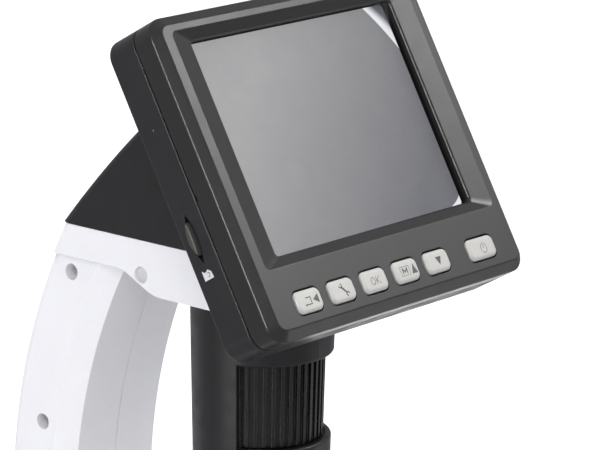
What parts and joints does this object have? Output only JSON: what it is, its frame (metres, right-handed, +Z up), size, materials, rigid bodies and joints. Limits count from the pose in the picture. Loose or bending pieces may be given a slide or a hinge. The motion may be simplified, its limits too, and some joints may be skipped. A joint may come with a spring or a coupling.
{
  "type": "digital microscope",
  "caption": "Desktop digital microscope: tilted display head with front keys on a black optical column with a fluted focus ring, held by a white C-shaped stand on a rounded base.",
  "frame": {"origin": "on the table, at the middle of the base's outline", "axes": "+Z up, +X to the right of the display as the user sees it, the user at -Y"},
  "size_m": [0.1, 0.126, 0.1952],
  "materials": {
    "head_shell": "satin",
    "head_shell_rear": "satin",
    "display_glass": "polished",
    "lcd_black": "gloss",
    "tin_plate": "satin",
    "circuit_green": "satin",
    "chip_black": "matte",
    "dome_steel": "satin",
    "key_white": "satin",
    "key_grey": "satin",
    "screw_steel": "satin",
    "body_black": "satin",
    "battery_wrap": "gloss",
    "ribbon_amber": "gloss",
    "guide_black": "matte",
    "ring_black": "matte",
    "lens_glass": "polished",
    "led_body": "gloss",
    "diffuser_milky": "matte",
    "stand_white": "satin gloss",
    "base_white": "satin gloss",
    "plate_steel": "matte powder coat",
    "stage_black": "matte",
    "foot_rubber": "matte"
  },
  "bodies": {
    "microscope_frame": {"front_bezel": "head_shell", "rear_shell": "head_shell_rear", "display_window": "display_glass", "lcd_panel": "lcd_black", "lcd_back_frame": "tin_plate", "usb_socket": "tin_plate", "card_socket": "tin_plate", "snapshot_switch": "tin_plate", "microphone": "tin_plate", "main_board": "circuit_green", "key_board": "circuit_green", "sensor_board": "circuit_green", "led_board": "circuit_green", "board_chips": "chip_black", "image_sensor": "chip_black", "av_socket": "chip_black", "dome_switches": "dome_steel", "head_screws": "screw_steel", "neck_screws": "screw_steel", "cheek_screws": "screw_steel", "arm_screws": "screw_steel", "arm_base_screws": "screw_steel", "base_plate_screws": "screw_steel", "body_left": "body_black", "body_right": "body_black", "nose_cap": "body_black", "objective_shroud": "body_black", "battery_pack": "battery_wrap", "sensor_ribbon": "ribbon_amber", "guide_tube": "guide_black", "objective_window": "lens_glass", "leds": "led_body", "light_diffuser": "diffuser_milky", "stand_left": "stand_white", "stand_right": "stand_white", "cheek_plugs": "stand_white", "base_cover": "base_white", "base_plate": "plate_steel", "ballast_plate": "plate_steel", "stage_disc": "stage_black", "rubber_feet": "foot_rubber"},
    "back_key": {"key_back": "key_white"},
    "menu_key": {"key_menu": "key_white"},
    "ok_key": {"key_ok": "key_white"},
    "mode_key": {"key_mode": "key_white"},
    "down_key": {"key_down": "key_white"},
    "power_key": {"key_power": "key_white"},
    "snapshot_button": {"snapshot_key": "key_grey"},
    "focus_wheel": {"focus_ring": "ring_black"},
    "lens_group": {"lens_carriage": "guide_black", "lens_upper": "lens_glass", "lens_spacer": "guide_black", "lens_lower": "lens_glass", "lens_retainer": "tin_plate"}
  },
  "joints": [
    {"name": "back_key_travel", "type": "slide", "parent": "microscope_frame", "child": "back_key", "axis": [0, 0.866, -0.5], "range_m": [0, 0.0006], "stiffness_N_per_m": 400},
    {"name": "menu_key_travel", "type": "slide", "parent": "microscope_frame", "child": "menu_key", "axis": [0, 0.866, -0.5], "range_m": [0, 0.0006], "stiffness_N_per_m": 400},
    {"name": "ok_key_travel", "type": "slide", "parent": "microscope_frame", "child": "ok_key", "axis": [0, 0.866, -0.5], "range_m": [0, 0.0006], "stiffness_N_per_m": 400},
    {"name": "mode_key_travel", "type": "slide", "parent": "microscope_frame", "child": "mode_key", "axis": [0, 0.866, -0.5], "range_m": [0, 0.0006], "stiffness_N_per_m": 400},
    {"name": "down_key_travel", "type": "slide", "parent": "microscope_frame", "child": "down_key", "axis": [0, 0.866, -0.5], "range_m": [0, 0.0006], "stiffness_N_per_m": 400},
    {"name": "power_key_travel", "type": "slide", "parent": "microscope_frame", "child": "power_key", "axis": [0, 0.866, -0.5], "range_m": [0, 0.0006], "stiffness_N_per_m": 400},
    {"name": "snapshot_travel", "type": "slide", "parent": "microscope_frame", "child": "snapshot_button", "axis": [1, 0, 0], "range_m": [0, 0.0006], "stiffness_N_per_m": 400},
    {"name": "focus_turn", "type": "hinge", "parent": "microscope_frame", "child": "focus_wheel", "pos_m": [0, -0.015, 0.096], "axis": [0, 0, 1], "range_deg": [-150, 150]},
    {"name": "lens_lift", "type": "slide", "parent": "microscope_frame", "child": "lens_group", "axis": [0, 0, 1], "range_m": [-0.005, 0.005]}
  ],
  "couplings": [
    {"joint": "lens_lift", "follows": "focus_turn", "m_per_rad": 0.0019}
  ]
}
